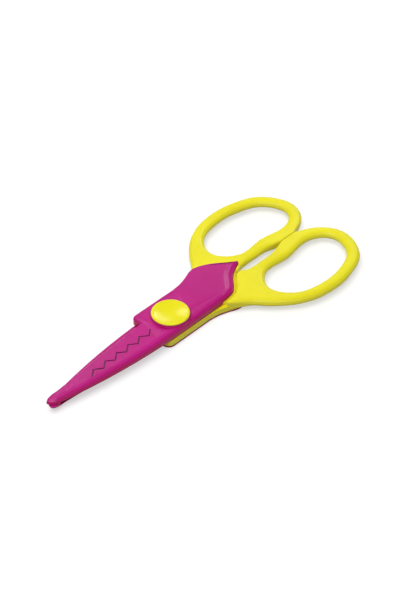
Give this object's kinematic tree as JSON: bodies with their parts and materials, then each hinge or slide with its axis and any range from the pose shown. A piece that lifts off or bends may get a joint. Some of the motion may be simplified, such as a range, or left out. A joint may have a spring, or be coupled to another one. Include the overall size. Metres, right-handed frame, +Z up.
{
  "type": "decorative edge scissors",
  "caption": "Craft scissors with zigzag blades under moulded covers, two finger loops and a round pivot cap, lying flat and closed.",
  "frame": {"origin": "on the pivot axis, in the plane that the scissors rest on", "axes": "+X along the closed scissors from the pivot to the finger loops, +Y towards the upper handle's loop, +Z up along the pivot axis"},
  "size_m": [0.1658, 0.0742, 0.0084],
  "materials": {
    "yellow_plastic": "smooth moulded",
    "magenta_plastic": "smooth moulded",
    "steel": "brushed"
  },
  "bodies": {
    "lower_half": {"lower_handle": "yellow_plastic", "lower_cover": "magenta_plastic", "lower_blade": "steel", "lower_blade_rivet_1": "steel", "lower_blade_rivet_2": "steel", "lower_handle_rivet_1": "steel", "lower_handle_rivet_2": "steel", "pivot_screw": "steel", "pivot_washer": "steel", "pivot_nut": "steel", "pivot_plug": "yellow_plastic"},
    "upper_half": {"upper_handle": "yellow_plastic", "upper_cover": "magenta_plastic", "upper_blade": "steel", "upper_blade_rivet_1": "steel", "upper_blade_rivet_2": "steel", "upper_handle_rivet_1": "steel", "upper_handle_rivet_2": "steel", "pivot_cap": "yellow_plastic"}
  },
  "joints": [
    {"name": "pivot", "type": "hinge", "parent": "lower_half", "child": "upper_half", "pos_m": [0, 0, 0.0035], "axis": [0, 0, 1], "range_deg": [0, 65]}
  ]
}
